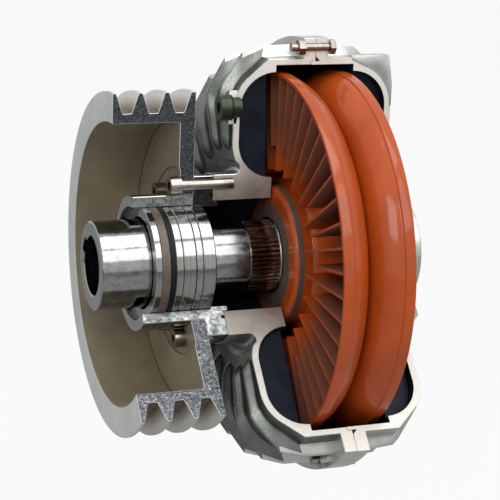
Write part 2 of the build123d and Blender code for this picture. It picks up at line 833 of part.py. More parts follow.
stack["hollow_shaft"] = hollow_shaft.part
stack["pulley"] = pulley.part
stack["bearing_sleeve"] = bearing_sleeve.part
stack["front_casing"] = front_casing.part
stack["rear_casing"] = rear_casing.part
stack["wheel"] = wheel

os.makedirs("parts", exist_ok=True)
for name, piece in stack.items():
    piece.label = name
    export_step(piece, "parts/" + name + ".step")
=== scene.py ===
"""Belt-driven fluid coupling, cut open for display: finishes, dressed castings, wheel, light and camera.

Profiles are lists of (x, radius) in millimetres about the coupling's axis, which is X.
Angles go round from straight up (+Z) towards +Y. The display cut takes away 225 to 360 degrees.
The named sizes are in millimetres and degrees, and lamps, floor and camera are placed in metres.
"""
from math import asin, atan2, cos, degrees, hypot, pi, radians, sin

import bpy
from mathutils import Matrix, Vector


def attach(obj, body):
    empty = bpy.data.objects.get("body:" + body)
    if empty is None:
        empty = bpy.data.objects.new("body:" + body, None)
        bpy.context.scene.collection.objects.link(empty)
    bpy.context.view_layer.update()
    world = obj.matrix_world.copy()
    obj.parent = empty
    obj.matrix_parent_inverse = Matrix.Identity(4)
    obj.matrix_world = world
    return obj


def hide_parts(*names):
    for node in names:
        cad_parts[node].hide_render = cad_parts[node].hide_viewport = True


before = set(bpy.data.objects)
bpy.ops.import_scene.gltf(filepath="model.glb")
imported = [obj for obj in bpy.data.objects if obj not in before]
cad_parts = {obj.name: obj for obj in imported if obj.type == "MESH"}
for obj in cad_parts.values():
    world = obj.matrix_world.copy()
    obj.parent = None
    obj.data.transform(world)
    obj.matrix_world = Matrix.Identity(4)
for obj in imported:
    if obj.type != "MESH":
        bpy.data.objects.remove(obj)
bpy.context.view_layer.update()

MM = 0.001
CUT_START = 225.0
CUT_CHAMFER = 0.5
SINK = 1.0  # how far ribs and vanes reach into the wall they stand on

# Pulley
PULLEY_FRONT = 12.7
PULLEY_BACK = 72.7
WEB_FRONT = 61.7
PULLEY_RADIUS = 121.6
RIM_BORE = 100.3
SCREW_SEAT = 66.5
GROOVES = 3
FIRST_GROOVE = 10.5
GROOVE_PITCH = 19.0
GROOVE_DEPTH = 14.4
GROOVE_MOUTH = 8.1
GROOVE_FLOOR = 3.15

# Bearing sleeve and shaft
SLEEVE_FRONT = 28.0
SLEEVE_BACK = 87.7
SLEEVE_RADIUS = 48.0
STACK_RADIUS = 40.0
STACK_END = 78.7
FLANGE_OUTER = 61.0
SPIGOT_END = 91.5
SPIGOT_RADIUS = 42.4
SLEEVE_BORE = 38.2
RING_GROOVE_OUTER = 47.9
RING_GROOVE_INNER = 45.9
RING_GROOVE_DEPTH = 2.0
SPLINE_START = 109.7

# Casings: the oil space is a slot whose ends are arcs about OIL_LOW and OIL_HIGH
FRONT_FACE = 131.7
JOINT = 161.1
REAR_FACE = 190.5
REAR_END = 235.5
HUB_BORE = 42.5
HUB_RADIUS = 61.4
HUB_FILLET = [(103.6, HUB_RADIUS), (106.2, 62.6), (107.4, 65.2), (106.6, 68.2)]
REAR_HUB = [(REAR_END - 6.1, 63.6), (REAR_END, 57.5), (REAR_END, STACK_RADIUS)]
REAR_HUB_FOOT = 66.6
REAR_SEAT = 14.0
REAR_BORE = 36.0
OIL_INNER = 58.2
OIL_OUTER = 133.7
OIL_DEPTH = 26.0
OIL_LOW = OIL_INNER + OIL_DEPTH
OIL_HIGH = OIL_OUTER - OIL_DEPTH
WALL = 5.0
SHELL = OIL_DEPTH + WALL
REAR_SHELL = REAR_FACE + SHELL
DRUM_FRONT = 125.5
DRUM_BORE = 138.7
DRUM_RADIUS = 143.3
FLANGE_RADIUS = 157.5
FLANGE_HALF = 9.4
LIP_RADIUS = 141.2
LIP_DEPTH = 3.6
RING_SEAT = 3.4
PLUG_RADIUS = 109.6
PLUG_SEAT = 96.8
PLUG_BOSS = 12.2
BOSS_RADIUS = 144.6
BOSS_WIDTH = 17.0
RIBS = 24
RIB_HEAD = 5.0
RIB_FOOT = 7.4
CASING_VANES = 32
CASING_VANE_START = 5.6
CASING_VANE = 2.4
CASING_VANE_EDGE = 3.5

# Wheel
WHEEL_HALF = 26.0
WHEEL_FRONT = JOINT - WHEEL_HALF
WHEEL_RIM = 132.4
WHEEL_BOWL = 23.5
BOWL_WALL = 2.9
BOWL_CENTRE = WHEEL_RIM - BOWL_WALL - WHEEL_BOWL
WHEEL_HUB = 50.5
WHEEL_BORE = 26.3
NOSE = 2.2
NOSE_PAINT = 38.5
BARE_BAND = 5.0
WHEEL_VANES = 48
WHEEL_VANE_START = 2.5
WHEEL_VANE = 2.0
LONG_VANE_INNER = 62.0
SHORT_VANE_INNER = 79.0


def linear(hex_colour):
    """A colour written as sRGB hex, as linear values."""
    parts = [int(hex_colour[i:i + 2], 16) / 255 for i in (1, 3, 5)]
    return [p / 12.92 if p <= 0.04045 else ((p + 0.055) / 1.055) ** 2.4 for p in parts] + [1.0]


def feed(tree, made, inputs):
    """Set a node's inputs, each to a plain value, a socket, or another node's first output."""
    for name, value in inputs.items():
        if isinstance(value, bpy.types.Node):
            value = value.outputs[0]
        if isinstance(value, bpy.types.NodeSocket):
            tree.links.new(value, made.inputs[name])
        else:
            made.inputs[name].default_value = value


def node(tree, kind, inputs, stops=(), **settings):
    """Add a node with its settings and inputs; a colour ramp's stops are (place, sRGB hex)."""
    made = tree.nodes.new("ShaderNode" + kind)
    for name, value in settings.items():
        setattr(made, name, value)
    feed(tree, made, inputs)
    if stops:
        elements = made.color_ramp.elements
        while len(elements) < len(stops):
            elements.new(0.5)
        for element, (place, colour) in zip(elements, stops):
            element.position = place
            element.color = linear(colour)
    return made


def new_finish(name, colour, metallic, roughness):
    """A Principled material with its plain values, and Object coordinates in millimetres to draw on."""
    material = bpy.data.materials.new(name)
    material.use_nodes = True
    tree = material.node_tree
    shader = tree.nodes["Principled BSDF"]
    feed(tree, shader, {"Base Color": linear(colour), "Metallic": metallic, "Roughness": roughness})
    coords = node(tree, "TexCoord", {}).outputs["Object"]
    place = node(tree, "VectorMath", {0: coords, "Scale": 1 / MM}, operation="SCALE")
    return material, tree, shader, place


def ground_steel():
    """Ground and polished bearing steel: mirror-like, with very fine rings round the axis."""
    material, tree, shader, place = new_finish("ground_bearing_steel", "#908F8D", 1.0, 0.11)
    # Real grinding rings are finer; 0.35 mm is what still shows
    cells = node(tree, "Mapping", {"Vector": place, "Scale": (1 / 0.35, 1 / 60, 1 / 60)})
    rings = node(tree, "TexNoise", {"Vector": cells, "Scale": 1.0, "Detail": 2.0, "Roughness": 0.55})
    colour = node(tree, "ValToRGB", {"Fac": rings}, [(0.3, "#82817F"), (0.7, "#9E9D9A")])
    gloss = node(tree, "MapRange", {
        "Value": rings, "From Min": 0.3, "From Max": 0.7, "To Min": 0.07, "To Max": 0.15})
    relief = node(tree, "Bump", {"Height": rings, "Strength": 0.12, "Distance": 0.05 * MM})
    feed(tree, shader, {"Base Color": colour, "Roughness": gloss, "Normal": relief})
    return material


def turned_steel():
    """Turned shaft steel: bright, with tool rings round the axis, and browned by oil on the splines."""
    material, tree, shader, place = new_finish("turned_shaft_steel", "#8C8E90", 1.0, 0.14)
    # Tool rings drawn at 0.6 mm, about three times the real feed, so that they show
    cells = node(tree, "Mapping", {"Vector": place, "Scale": (1 / 0.6, 1 / 80, 1 / 80)})
    rings = node(tree, "TexNoise", {"Vector": cells, "Scale": 1.0, "Detail": 2.0, "Roughness": 0.55})
    smears = node(tree, "Mapping", {"Vector": place, "Scale": (1 / 6, 1 / 4, 1 / 4)})
    marks = node(tree, "TexNoise", {"Vector": smears, "Scale": 1.0, "Detail": 5.0, "Roughness": 0.7})
    bright = node(tree, "ValToRGB", {"Fac": marks}, [(0.35, "#7C7F83"), (0.6, "#9A9B9B")])
    oiled = node(tree, "ValToRGB", {"Fac": marks}, [(0.35, "#66584E"), (0.6, "#8A7B70")])
    along = node(tree, "SeparateXYZ", {"Vector": place}).outputs["X"]
    splined = node(tree, "MapRange", {
        "Value": along, "From Min": SPLINE_START - 0.3, "From Max": SPLINE_START + 0.3})
    tint = node(tree, "Mix", {0: splined, 6: bright, 7: oiled}, data_type="RGBA")
    gloss = node(tree, "MapRange", {
        "Value": marks, "From Min": 0.3, "From Max": 0.75, "To Min": 0.09, "To Max": 0.22})
    relief = node(tree, "Bump", {"Height": rings, "Strength": 0.15, "Distance": 0.08 * MM})
    feed(tree, shader, {"Base Color": tint.outputs[2], "Roughness": gloss, "Normal": relief})
    return material


def fastener_steel():
    """Zinc-plated fastener steel: bright, slightly warm, a little uneven."""
    material, tree, shader, place = new_finish("zinc_plated_steel", "#ACA59D", 1.0, 0.24)
    patches = node(tree, "TexNoise", {"Vector": place, "Scale": 1 / 8, "Detail": 3.0, "Roughness": 0.55})
    colour = node(tree, "ValToRGB", {"Fac": patches}, [(0.3, "#7C746D"), (0.7, "#A29B93")])
    gloss = node(tree, "MapRange", {
        "Value": patches, "From Min": 0.3, "From Max": 0.7, "To Min": 0.17, "To Max": 0.28})
    relief = node(tree, "Bump", {"Height": patches, "Strength": 0.08, "Distance": 0.05 * MM})
    feed(tree, shader, {"Base Color": colour, "Roughness": gloss, "Normal": relief})
    return material


def cast_aluminium(name, dark, pale):
    """Die-cast aluminium skin: neutral grey with a faint green cast and a fine orange-peel grain."""
    material, tree, shader, place = new_finish(name, dark, 0.9, 0.32)
    broad = node(tree, "TexNoise", {"Vector": place, "Scale": 1 / 18, "Detail": 3.0, "Roughness": 0.55})
    grain = node(tree, "TexNoise", {"Vector": place, "Scale": 1 / 1.4, "Detail": 4.0, "Roughness": 0.6})
    colour = node(tree, "ValToRGB", {"Fac": broad}, [(0.3, dark), (0.7, pale)])
    gloss = node(tree, "MapRange", {
        "Value": grain, "From Min": 0.3, "From Max": 0.7, "To Min": 0.24, "To Max": 0.38})
    relief = node(tree, "Bump", {"Height": grain, "Strength": 0.35, "Distance": 0.18 * MM})
    feed(tree, shader, {"Base Color": colour, "Roughness": gloss, "Normal": relief})
    return material


def cut_aluminium():
    """Sawn and milled aluminium section: pale and satin, finely speckled, with a painted reflection that
    darkens it to taupe towards the thick hub.
    """
    material, tree, shader, place = new_finish("milled_aluminium_section", "#D9D3C8", 0.2, 0.42)
    flat = node(tree, "VectorMath", {0: place, 1: (0, 1, 1)}, operation="MULTIPLY")
    radius = node(tree, "VectorMath", {0: flat}, operation="LENGTH").outputs["Value"]
    grain = node(tree, "TexNoise", {"Vector": place, "Scale": 1 / 0.9, "Detail": 4.0, "Roughness": 0.65})
    broad = node(tree, "TexNoise", {"Vector": place, "Scale": 1 / 22, "Detail": 2.0, "Roughness": 0.55})
    # Painted reflection: darker and taupe towards the axis, pale further out
    outward = node(tree, "MapRange", {
        "Value": radius, "From Min": 45, "From Max": 80, "To Min": 0.0, "To Max": 0.8})
    clouds = node(tree, "MapRange", {
        "Value": broad, "From Min": 0.3, "From Max": 0.7, "To Min": -0.1, "To Max": 0.2})
    zone = node(tree, "Math", {0: outward, 1: clouds}, operation="ADD")
    base = node(tree, "ValToRGB", {"Fac": zone}, [(0.0, "#83786F"), (0.45, "#B9B2A8"), (0.8, "#ECEAE3")])
    speck = node(tree, "ValToRGB", {"Fac": grain}, [(0.35, "#D8D5CF"), (0.62, "#FFFFFF")])
    tint = node(tree, "Mix", {0: 0.7, 6: base, 7: speck}, data_type="RGBA", blend_type="MULTIPLY")
    relief = node(tree, "Bump", {"Height": grain, "Strength": 0.25, "Distance": 0.1 * MM})
    feed(tree, shader, {"Base Color": tint.outputs[2], "Normal": relief})
    return material


def oil_space_paint():
    """Dark navy primer inside the casings: low sheen, slightly cloudy."""
    material, tree, shader, place = new_finish("navy_primer", "#151924", 0.0, 0.55)
    cloud = node(tree, "TexNoise", {"Vector": place, "Scale": 1 / 14, "Detail": 3.0, "Roughness": 0.55})
    grain = node(tree, "TexNoise", {"Vector": place, "Scale": 1 / 1.5, "Detail": 3.0, "Roughness": 0.55})
    colour = node(tree, "ValToRGB", {"Fac": cloud}, [(0.3, "#10131B"), (0.7, "#1F2536")])
    relief = node(tree, "Bump", {"Height": grain, "Strength": 0.2, "Distance": 0.1 * MM})
    feed(tree, shader, {"Base Color": colour, "Specular IOR Level": 0.2, "Normal": relief})
    return material


def wheel_paint():
    """Glossy orange enamel: deep colour under a hard clear gloss, with a slight orange peel."""
    material, tree, shader, place = new_finish("orange_enamel", "#B04410", 0.0, 0.5)
    cloud = node(tree, "TexNoise", {"Vector": place, "Scale": 1 / 35, "Detail": 3.0, "Roughness": 0.55})
    peel = node(tree, "TexNoise", {"Vector": place, "Scale": 1 / 2.6, "Detail": 1.0, "Roughness": 0.55})
    colour = node(tree, "ValToRGB", {"Fac": cloud}, [(0.3, "#9C3E0C"), (0.7, "#B04A12")])
    relief = node(tree, "Bump", {"Height": peel, "Strength": 0.12, "Distance": 0.12 * MM})
    feed(tree, shader, {"Base Color": colour, "Specular IOR Level": 0.2, "Normal": relief})
    feed(tree, shader, {"Coat Weight": 0.5, "Coat Roughness": 0.12})
    return material


def pocket_shade_paint():
    """The enamel in the pockets between the vanes: orange at the hub, darkened to brown further out as
    painted shade.
    """
    material, tree, shader, place = new_finish("orange_enamel_painted_pocket_shade", "#5A3A2C", 0.0, 0.6)
    flat = node(tree, "VectorMath", {0: place, 1: (0, 1, 1)}, operation="MULTIPLY")
    radius = node(tree, "VectorMath", {0: flat}, operation="LENGTH").outputs["Value"]
    cloud = node(tree, "TexNoise", {"Vector": place, "Scale": 1 / 16, "Detail": 3.0, "Roughness": 0.55})
    grain = node(tree, "TexNoise", {"Vector": place, "Scale": 1 / 2, "Detail": 3.0, "Roughness": 0.55})
    outward = node(tree, "MapRange", {"Value": radius, "From Min": 50, "From Max": 100})
    clouds = node(tree, "MapRange", {
        "Value": cloud, "From Min": 0.3, "From Max": 0.7, "To Min": -0.05, "To Max": 0.06})
    zone = node(tree, "Math", {0: outward, 1: clouds}, operation="ADD")
    painted_shade_stops = [(0.25, "#B04810"), (0.45, "#A64A1C"), (0.65, "#864A32"), (0.95, "#764634")]
    colour = node(tree, "ValToRGB", {"Fac": zone}, painted_shade_stops)
    relief = node(tree, "Bump", {"Height": grain, "Strength": 0.2, "Distance": 0.1 * MM})
    feed(tree, shader, {"Base Color": colour, "Specular IOR Level": 0.15, "Normal": relief})
    return material


def vane_edge_paint():
    """Orange enamel on the vanes' thin edges, a darker, duller red-brown than the wheel's enamel: painted
    shade.
    """
    material, tree, shader, place = new_finish("orange_enamel_edges_painted_shade", "#94401C", 0.0, 0.5)
    cloud = node(tree, "TexNoise", {"Vector": place, "Scale": 1 / 12, "Detail": 3.0, "Roughness": 0.55})
    colour = node(tree, "ValToRGB", {"Fac": cloud}, [(0.3, "#84402A"), (0.7, "#A04A28")])
    feed(tree, shader, {"Base Color": colour, "Specular IOR Level": 0.2})
    return material


def hub_primer():
    """Grey-brown primer left bare on the hub's inner ring and round its edge: matte."""
    material, tree, shader, place = new_finish("grey_brown_primer", "#564840", 0.0, 0.6)
    cloud = node(tree, "TexNoise", {"Vector": place, "Scale": 1 / 10, "Detail": 3.0, "Roughness": 0.55})
    grain = node(tree, "TexNoise", {"Vector": place, "Scale": 1 / 1.5, "Detail": 3.0, "Roughness": 0.55})
    colour = node(tree, "ValToRGB", {"Fac": cloud}, [(0.3, "#4C4039"), (0.7, "#625248")])
    relief = node(tree, "Bump", {"Height": grain, "Strength": 0.15, "Distance": 0.1 * MM})
    feed(tree, shader, {"Base Color": colour, "Normal": relief})
    return material


def iron_face():
    """Fine-turned cast iron of the pulley's front ring: pale matte grey with faint rings."""
    material, tree, shader, place = new_finish("fine_turned_iron", "#B5B9B7", 0.35, 0.5)
    # Turning rings drawn at 0.8 mm, coarser than the real feed, so that they show
    cells = node(tree, "Mapping", {"Vector": place, "Scale": (1 / 0.8, 1 / 40, 1 / 40)})
    rings = node(tree, "TexNoise", {"Vector": cells, "Scale": 1.0, "Detail": 2.0, "Roughness": 0.55})
    broad = node(tree, "TexNoise", {"Vector": place, "Scale": 1 / 25, "Detail": 2.0, "Roughness": 0.55})
    colour = node(tree, "ValToRGB", {"Fac": broad}, [(0.3, "#C2C6C4"), (0.7, "#D2D5D3")])
    relief = node(tree, "Bump", {"Height": rings, "Strength": 0.1, "Distance": 0.05 * MM})
    feed(tree, shader, {"Base Color": colour, "Normal": relief})
    return material


def iron_inside():
    """Turned iron inside the pulley's cup, oiled and browned: warm olive brown, fine grain."""
    material, tree, shader, place = new_finish("browned_iron", "#665B4B", 0.3, 0.5)
    broad = node(tree, "TexNoise", {"Vector": place, "Scale": 1 / 40, "Detail": 3.0, "Roughness": 0.55})
    grain = node(tree, "TexNoise", {"Vector": place, "Scale": 1 / 1.6, "Detail": 4.0, "Roughness": 0.7})
    browns = [(0.3, "#7C725F"), (0.55, "#8D816B"), (0.75, "#9C8F77")]
    colour = node(tree, "ValToRGB", {"Fac": broad}, browns)
    gloss = node(tree, "MapRange", {
        "Value": grain, "From Min": 0.3, "From Max": 0.7, "To Min": 0.38, "To Max": 0.58})
    relief = node(tree, "Bump", {"Height": grain, "Strength": 0.2, "Distance": 0.1 * MM})
    feed(tree, shader, {"Base Color": colour, "Roughness": gloss, "Normal": relief})
    return material


def iron_groove():
    """Belt-polished iron of the groove flanks: pale silver, brown towards the bottom."""
    material, tree, shader, place = new_finish("belt_polished_iron", "#C2BFB6", 0.6, 0.38)
    flat = node(tree, "VectorMath", {0: place, 1: (0, 1, 1)}, operation="MULTIPLY")
    radius = node(tree, "VectorMath", {0: flat}, operation="LENGTH").outputs["Value"]
    height = node(tree, "MapRange", {
        "Value": radius, "From Min": PULLEY_RADIUS - GROOVE_DEPTH, "From Max": PULLEY_RADIUS})
    flank = [(0.0, "#5E4E40"), (0.35, "#9A8F80"), (0.75, "#C3C2BC")]
    colour = node(tree, "ValToRGB", {"Fac": height}, flank)
    # Belt scratches round the axis, drawn at 0.7 mm so that they show
    cells = node(tree, "Mapping", {"Vector": place, "Scale": (1 / 0.7, 1 / 30, 1 / 30)})
    rings = node(tree, "TexNoise", {"Vector": cells, "Scale": 1.0, "Detail": 2.0, "Roughness": 0.55})
    relief = node(tree, "Bump", {"Height": rings, "Strength": 0.12, "Distance": 0.05 * MM})
    feed(tree, shader, {"Base Color": colour, "Normal": relief})
    return material


def iron_section(name, dark, middle, bright, grain_size):
    """Ground section of cast iron: a mottled, metallic, blue-grey surface with bright flecks."""
    material, tree, shader, place = new_finish(name, middle, 0.8, 0.34)
    # The iron's own grain is finer; grain_size in millimetres is what shows
    patch = node(tree, "TexNoise", {
        "Vector": place, "Scale": 1 / grain_size, "Detail": 6.0, "Roughness": 0.7, "Distortion": 0.8})
    colour = node(tree, "ValToRGB", {"Fac": patch}, [(0.34, dark), (0.5, middle), (0.7, bright)])
    gloss = node(tree, "MapRange", {
        "Value": patch, "From Min": 0.35, "From Max": 0.65, "To Min": 0.5, "To Max": 0.25})
    relief = node(tree, "Bump", {"Height": patch, "Strength": 0.3, "Distance": 0.15 * MM})
    feed(tree, shader, {"Base Color": colour, "Roughness": gloss, "Normal": relief})
    return material


def brown_resin():
    """Fabric-filled phenolic resin of the seal body: warm brown, satin, faint weave."""
    material, tree, shader, place = new_finish("phenolic_resin", "#7E6A5A", 0.0, 0.42)
    # Layers of cloth 0.8 mm apart along the axis, their threads running round it
    cells = node(tree, "Mapping", {"Vector": place, "Scale": (1 / 0.8, 1 / 3, 1 / 3)})
    weave = node(tree, "TexNoise", {"Vector": cells, "Scale": 1.0, "Detail": 3.0, "Roughness": 0.55})
    colour = node(tree, "ValToRGB", {"Fac": weave}, [(0.3, "#4E4036"), (0.7, "#6A5A50")])
    relief = node(tree, "Bump", {"Height": weave, "Strength": 0.2, "Distance": 0.1 * MM})
    feed(tree, shader, {"Base Color": colour, "Normal": relief})
    return material


def black_rubber():
    """Nitrile rubber: near black, soft sheen."""
    material, tree, shader, place = new_finish("nitrile_rubber", "#101113", 0.0, 0.5)
    cloud = node(tree, "TexNoise", {"Vector": place, "Scale": 1 / 4, "Detail": 3.0, "Roughness": 0.55})
    colour = node(tree, "ValToRGB", {"Fac": cloud}, [(0.3, "#08090A"), (0.7, "#141518")])
    relief = node(tree, "Bump", {"Height": cloud, "Strength": 0.1, "Distance": 0.1 * MM})
    feed(tree, shader, {"Base Color": colour, "Specular IOR Level": 0.2, "Normal": relief})
    return material


def green_zinc():
    """Olive passivated zinc on the filler plug: dark green with a metallic sheen."""
    material, tree, shader, place = new_finish("olive_passivated_zinc", "#3A4A2A", 0.5, 0.34)
    cloud = node(tree, "TexNoise", {"Vector": place, "Scale": 1 / 3, "Detail": 3.0, "Roughness": 0.55})
    colour = node(tree, "ValToRGB", {"Fac": cloud}, [(0.3, "#1E2A17"), (0.7, "#334226")])
    relief = node(tree, "Bump", {"Height": cloud, "Strength": 0.15, "Distance": 0.1 * MM})
    feed(tree, shader, {"Base Color": colour, "Normal": relief})
    return material


GROUND = ground_steel()
SHAFT = turned_steel()
FASTENER = fastener_steel()
CASTING = cast_aluminium("cast_aluminium_ribs", "#ABADA9", "#C8C9C6")
# Painted shade: a darker copy of the casing's aluminium for the shell between the ribs
SHADED_HOLLOW = cast_aluminium("cast_aluminium_painted_hollow_shade", "#5A5D59", "#787B77")
SECTION = cut_aluminium()
NAVY = oil_space_paint()
ENAMEL = wheel_paint()
SHADED_POCKET = pocket_shade_paint()
EDGE = vane_edge_paint()
PRIMER = hub_primer()
IRON = iron_face()
IRON_INSIDE = iron_inside()
IRON_GROOVE = iron_groove()
IRON_SECTION = iron_section("ground_iron_section", "#27292C", "#46494C", "#83868A", 1.8)
# Painted reflection: dark and bright copies of the sleeve's section, for its upper cut and its other cut
# faces
PAINTED_REFLECTION_SECTION = iron_section("iron_section_painted_dark_reflection", "#1E1F20", "#2E2F2F", "#474848", 3.0)
SLEEVE_SECTION = iron_section("milled_iron_section", "#55585A", "#8C8F8F", "#C4C6C5", 5.0)
RESIN = brown_resin()
RUBBER = black_rubber()
OLIVE = green_zinc()


def arc(x, radius, bend, start, end, steps=14):
    """Points of an arc of a profile about (x, radius): 0 degrees points along +X, 90 outwards."""
    turns = [radians(start + (end - start) * i / steps) for i in range(steps + 1)]
    return [(x + bend * cos(t), radius + bend * sin(t)) for t in turns]


def mirrored(points):
    """The same profile on the other side of the casings' joint."""
    return [(2 * JOINT - x, radius) for x, radius in points]


def eased(points, ease):
    """A closed profile with every corner sharper than 20 degrees rounded by a small curve."""
    steps = 3
    out = []
    for i, corner in enumerate(points):
        here = Vector(corner)
        back = Vector(points[i - 1]) - here
        ahead = Vector(points[(i + 1) % len(points)]) - here
        reach = min(ease, back.length * 0.45, ahead.length * 0.45)
        if pi - back.angle(ahead, pi) < radians(20) or reach < 0.02:
            out.append(corner)
            continue
        start = here + back.normalized() * reach
        end = here + ahead.normalized() * reach
        for k in range(steps + 1):
            t = k / steps
            out.append(tuple(start * (1 - t) ** 2 + here * 2 * t * (1 - t) + end * t ** 2))
    return out


def polar_of(point):
    """(x, radius, angle) in millimetres and degrees of a place in metres."""
    angle = degrees(atan2(point.y, point.z)) % 360
    return point.x / MM, hypot(point.y, point.z) / MM, angle


def select_only(made):
    """Make an object the only selected one, and the active one."""
    bpy.ops.object.select_all(action="DESELECT")
    bpy.context.view_layer.objects.active = made
    made.select_set(True)


def edit(made):
    """Open an object in edit mode with everything selected."""
    select_only(made)
    bpy.ops.object.mode_set(mode="EDIT")
    bpy.ops.mesh.select_all(action="SELECT")


def close_edit():
    """Turn every face outwards and leave edit mode."""
    bpy.ops.mesh.select_all(action="SELECT")
    bpy.ops.mesh.normals_make_consistent(inside=False)
    bpy.ops.object.mode_set(mode="OBJECT")


def outline(name, profile, y, fill_type):
    """A circle of as many points as the profile has, drawn out to the profile above the axis."""
    bpy.ops.object.select_all(action="DESELECT")
    bpy.ops.mesh.primitive_circle_add(vertices=len(profile), fill_type=fill_type)
    made = bpy.context.object
    made.name = made.data.name = name
    for vertex, (x, radius) in zip(made.data.vertices, profile):
        vertex.co = Vector((x, y, radius)) * MM
    return made


def lathe(name, profile, sweep=360.0):
    """Spin a closed profile about the axis; a part turn gets its two end faces."""
    made = outline(name, profile, 0, "NOTHING")
    edit(made)
    bpy.ops.mesh.spin(steps=round(sweep / 1.5), angle=radians(sweep), center=(0, 0, 0), axis=(1, 0, 0))
    bpy.ops.mesh.select_all(action="SELECT")
    bpy.ops.mesh.remove_doubles(threshold=0.002 * MM)
    if sweep < 360:
        bpy.ops.mesh.select_all(action="DESELECT")
        bpy.ops.mesh.select_non_manifold()
        bpy.ops.mesh.edge_face_add()
    close_edit()
    return made


def plate(name, profile, thickness, ease=0.0):
    """Flat plate straight above the axis, its outline given as (x, radius)."""
    made = outline(name, profile, thickness / 2, "NGON")
    edit(made)
    bpy.ops.mesh.extrude_region_move(TRANSFORM_OT_translate={"value": (0, -thickness * MM, 0)})
    close_edit()
    if ease:
        add_bevel(made, ease, 2)
    return made


def rib(name, crown, foot):
    """Cast rib straight above the axis, from a foot line on the shell to a rounded crown, feet flared."""
    sections = [(-1.9, 0.0), (-1.3, 0.12), (-1.0, 0.34), (-0.86, 0.8), (-0.5, 1.0)]
    sections += [(-side, height) for side, height in reversed(sections)]
    stations = len(crown)
    last = len(sections) - 1
    bpy.ops.object.select_all(action="DESELECT")
    bpy.ops.mesh.primitive_grid_add(x_subdivisions=stations - 1, y_subdivisions=last, size=1)
    made = bpy.context.object
    made.name = name
    for index, vertex in enumerate(made.data.vertices):
        row, column = divmod(index, stations)
        side, height = sections[row]
        place = Vector(foot[column]).lerp(Vector(crown[column]), height)
        half_width = (RIB_FOOT + (RIB_HEAD - RIB_FOOT) * height) / 2
        vertex.co = Vector((place.x, side * half_width, place.y)) * MM
    edit(made)
    bpy.ops.mesh.select_mode(type="EDGE")
    bpy.ops.mesh.select_all(action="DESELECT")
    bpy.ops.object.mode_set(mode="OBJECT")
    for edge in made.data.edges:
        rows = {vertex // stations for vertex in edge.vertices}
        edge.select = rows in ({0}, {last})
    bpy.ops.object.mode_set(mode="EDIT")
    bpy.ops.mesh.bridge_edge_loops()
    bpy.ops.mesh.select_all(action="SELECT")
    bpy.ops.mesh.fill_holes(sides=0)
    close_edit()
    return made


def round_the_axis(made, angles):
    """Turn a piece made above the axis to the first angle, and a copy of it to each of the others."""
    pieces = [made]
    for angle in angles[1:]:
        piece = made.copy()
        piece.data = made.data.copy()
        bpy.context.collection.objects.link(piece)
        pieces.append(piece)
    for piece, angle in zip(pieces, angles):
        piece.data.transform(Matrix.Rotation(-radians(angle), 4, "X"))
    return pieces


def add_bevel(made, width, segments, angle=40):
    """Bevel the edges sharper than the angle and apply the modifier."""
    bevel = made.modifiers.new("edge", "BEVEL")
    bevel.width = width * MM
    bevel.segments = segments
    bevel.limit_method = "ANGLE"
    bevel.angle_limit = radians(angle)
    bevel.harden_normals = False
    bpy.context.view_layer.objects.active = made
    bpy.ops.object.modifier_apply(modifier="edge")


def join(target, others):
    """Join meshes into the target."""
    select_only(target)
    for other in others:
        other.select_set(True)
    bpy.ops.object.join()


def finish_faces(made, materials, choose):
    """Give a piece its materials; choose(x, radius, angle, normal) names each face's material."""
    places = {}
    for material in materials:
        places[material.name] = len(made.data.materials)
        made.data.materials.append(material)
    for face in made.data.polygons:
        x, radius, angle = polar_of(face.center)
        face.material_index = places[choose(x, radius, angle, face.normal).name]


def smooth(made):
    """Smooth shading except over edges sharper than 30 degrees."""
    select_only(made)
    bpy.ops.object.shade_smooth_by_angle(angle=radians(30))


def is_cut_face(angle, normal):
    """True for a face that lies in one of the display cut's two planes."""
    low = radians(CUT_START)
    near_top = min(angle, 360 - angle) < 0.2 and abs(normal.y) > 0.99
    near_low = abs(angle - CUT_START) < 0.2 and abs(normal.y * cos(low) - normal.z * sin(low)) > 0.99
    return near_top or near_low


def along_cut(radius, angle):
    """True for the narrow chamfer along the cut planes, whose middle lies within 0.68 of its width."""
    away = min(angle, 360 - angle, abs(angle - CUT_START))
    return radius * radians(away) < CUT_CHAMFER * 0.68


def stands_for(made, node_name, body):
    """Let a dressed piece replace its CAD node and turn with the node's body."""
    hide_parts(node_name)
    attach(made, body)


def kept_angles(count, start):
    """Places of a full circle that the display cut leaves."""
    places = [start + i * 360 / count for i in range(count)]
    return [angle for angle in places if angle < CUT_START]


def off_slot(deep, radius):
    """Distance from the middle line of the oil space's slot, deep being the way in from its mouth."""
    return hypot(max(0, deep), max(0, OIL_LOW - radius, radius - OIL_HIGH))


def in_oil_space(deep, radius):
    """True for faces that line the oil space, the casing's vanes among them."""
    within = deep < OIL_DEPTH + 0.8 and OIL_INNER - 1 < radius < DRUM_BORE + 0.5
    return within and (off_slot(deep, radius) < OIL_DEPTH + 1.5 or deep < 1)


def casing_vane_outline():
    """One of the front casing's vanes, its outer edges sunk into the wall."""
    points = [(FRONT_FACE - CASING_VANE_EDGE, OIL_INNER + 1)]
    points += arc(FRONT_FACE, OIL_LOW, OIL_DEPTH + SINK, 262, 180, 8)
    points += arc(FRONT_FACE, OIL_HIGH, OIL_DEPTH + SINK, 180, 98, 8)
    points += [(FRONT_FACE - CASING_VANE_EDGE, OIL_OUTER - 1)]
    return points


